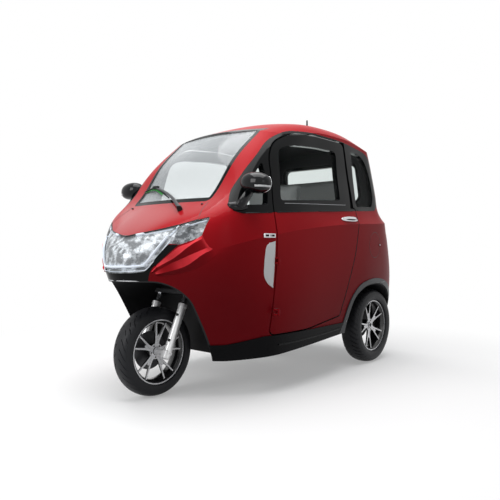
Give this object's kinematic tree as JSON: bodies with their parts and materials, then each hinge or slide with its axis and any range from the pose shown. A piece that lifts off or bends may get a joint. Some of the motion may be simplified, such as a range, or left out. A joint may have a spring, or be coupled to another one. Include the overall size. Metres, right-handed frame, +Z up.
{
  "type": "enclosed three wheeled car",
  "caption": "Small enclosed three wheeled car with a hollow cab, doors that open, a front wheel steered in a fork and wheels that turn.",
  "frame": {"origin": "on the ground, under the middle of the car's overall length and width", "axes": "+Z up, the nose points to -Y, the left side of the car is +X"},
  "size_m": [1.214, 2.0667, 1.6652],
  "materials": {
    "body_paint": "glossy pearl red",
    "black_trim": "gloss black",
    "dark_trim": "satin dark grey",
    "clear_glass": "lightly tinted",
    "lamp_lens": "clear, moulded inside",
    "tail_lens": "gloss red",
    "chrome_handle": "polished",
    "frame_steel": "satin black",
    "fork_silver": "satin silver",
    "disc_steel": "brushed",
    "rim_black": "gloss black with machined faces",
    "tyre_black": "moulded rubber",
    "battery_case": "satin",
    "seat_vinyl": "white vinyl",
    "dash_plastic": "grey grain"
  },
  "bodies": {
    "root": {"side_frame_left": "body_paint", "side_frame_right": "body_paint", "hood": "body_paint", "roof_panel": "body_paint", "rear_panel": "body_paint", "windscreen": "clear_glass", "windscreen_seal": "dark_trim", "rear_window": "clear_glass", "rear_window_seal": "dark_trim", "lower_grille": "black_trim", "headlamp_mask": "black_trim", "headlamp_lens": "lamp_lens", "sills": "dark_trim", "rear_arch_trims": "dark_trim", "rear_bumper": "dark_trim", "tail_lamps": "tail_lens", "front_quarter_trims": "black_trim", "front_quarter_glass": "clear_glass", "rear_quarter_trims": "black_trim", "rear_quarter_glass": "clear_glass", "front_wheel_well": "dark_trim", "rear_wheel_wells": "dark_trim", "floor_pan": "frame_steel", "dashboard": "dash_plastic", "chassis_frame": "frame_steel", "cross_members": "frame_steel", "steering_head": "frame_steel", "battery_pack": "battery_case", "rear_axle": "frame_steel", "rear_suspension": "frame_steel", "driver_seat": "seat_vinyl", "rear_bench": "seat_vinyl", "mirrors": "black_trim", "wiper": "dark_trim", "aerial": "dark_trim", "hinge_pins": "body_paint"},
    "steering": {"fork_legs": "fork_silver", "fork_yoke": "frame_steel", "handlebar": "frame_steel", "front_axle": "frame_steel"},
    "front_wheel": {"front_tyre": "tyre_black", "front_rim": "rim_black", "front_brake_disc": "disc_steel"},
    "rear_wheel_left": {"rear_tyre_left": "tyre_black", "rear_rim_left": "rim_black"},
    "rear_wheel_right": {"rear_tyre_right": "tyre_black", "rear_rim_right": "rim_black"},
    "door_left": {"door_left_panel": "body_paint", "door_left_frame": "black_trim", "door_left_glass": "clear_glass", "door_left_handle": "chrome_handle", "door_left_hinges": "body_paint"},
    "door_right": {"door_right_panel": "body_paint", "door_right_frame": "black_trim", "door_right_glass": "clear_glass", "door_right_handle": "chrome_handle", "door_right_hinges": "body_paint"}
  },
  "joints": [
    {"name": "steer", "type": "hinge", "parent": "root", "child": "steering", "pos_m": [0, -0.74968, 0.21711], "axis": [0, 0.4131, 0.9107], "range_deg": [-35, 35]},
    {"name": "front_wheel_spin", "type": "hinge", "parent": "steering", "child": "front_wheel", "pos_m": [0, -0.777, 0.2295], "axis": [1, 0, 0], "continuous": true},
    {"name": "rear_left_spin", "type": "hinge", "parent": "root", "child": "rear_wheel_left", "pos_m": [0.422, 0.703, 0.2435], "axis": [1, 0, 0], "continuous": true},
    {"name": "rear_right_spin", "type": "hinge", "parent": "root", "child": "rear_wheel_right", "pos_m": [-0.422, 0.703, 0.2435], "axis": [1, 0, 0], "continuous": true},
    {"name": "door_left_hinge", "type": "hinge", "parent": "root", "child": "door_left", "pos_m": [0.541, -0.417, 0.57], "axis": [0, 0, -1], "range_deg": [0, 65]},
    {"name": "door_right_hinge", "type": "hinge", "parent": "root", "child": "door_right", "pos_m": [-0.541, -0.417, 0.57], "axis": [0, 0, 1], "range_deg": [0, 65]}
  ]
}
